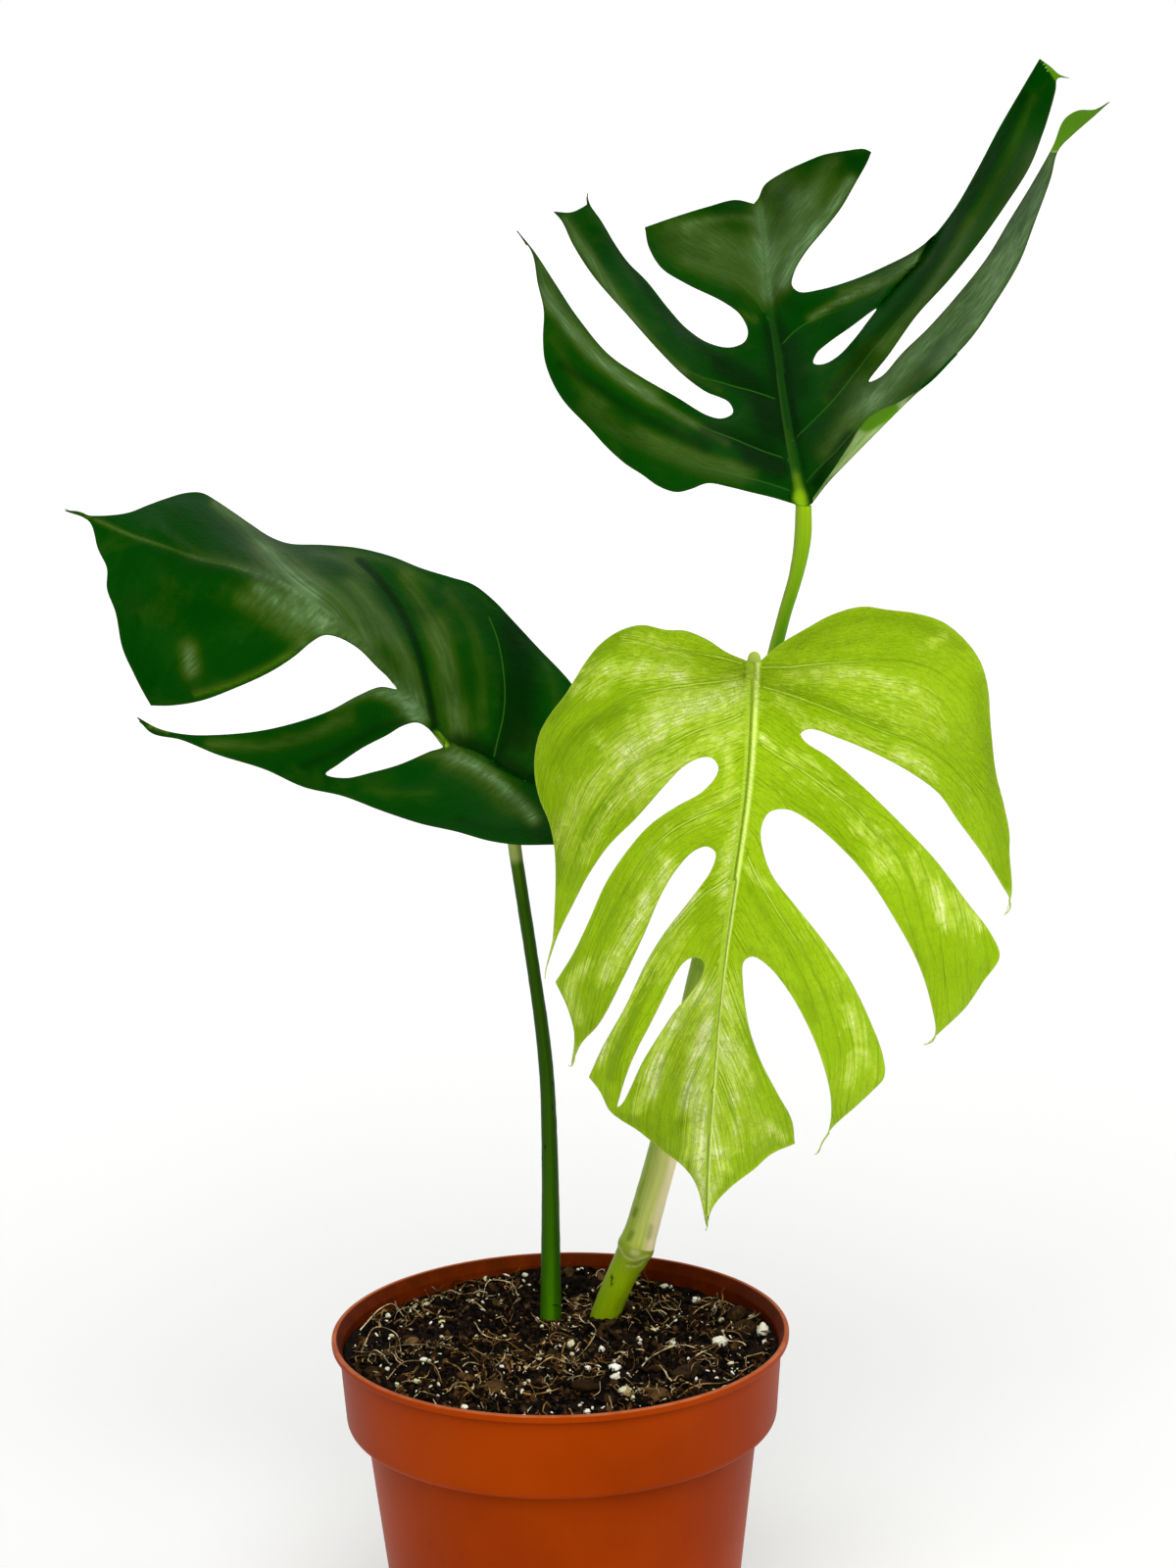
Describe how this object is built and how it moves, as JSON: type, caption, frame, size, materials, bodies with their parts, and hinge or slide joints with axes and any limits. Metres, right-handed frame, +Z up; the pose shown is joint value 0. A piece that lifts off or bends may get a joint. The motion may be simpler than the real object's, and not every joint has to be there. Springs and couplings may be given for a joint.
{
  "type": "potted monstera sierrana",
  "caption": "House plant with split leaves on long petioles in a tapered plastic nursery pot with a tall collar, filled with potting soil.",
  "frame": {"origin": "centre of the pot's base, on the surface it stands on", "axes": "+Z up, the young leaf faces -Y, the left leaf points to -X"},
  "size_m": [0.3429, 0.2392, 0.5406],
  "materials": {
    "pot_plastic": "satin moulded polypropylene",
    "potting_soil": "damp peat and coir, crumbly",
    "stem_skin": "smooth green stem, paler at the sheath",
    "dark_petiole": "smooth dark green petiole",
    "dark_blade": "glossy dark green leaf blade",
    "young_blade": "glossy yellow-green young leaf blade"
  },
  "bodies": {
    "root": {"pot": "pot_plastic", "soil": "potting_soil", "stem": "stem_skin", "petiole_top": "stem_skin", "petiole_young": "young_blade", "petiole_left": "dark_petiole", "leaf_top": "dark_blade", "leaf_young": "young_blade", "leaf_left": "dark_blade"}
  },
  "joints": []
}
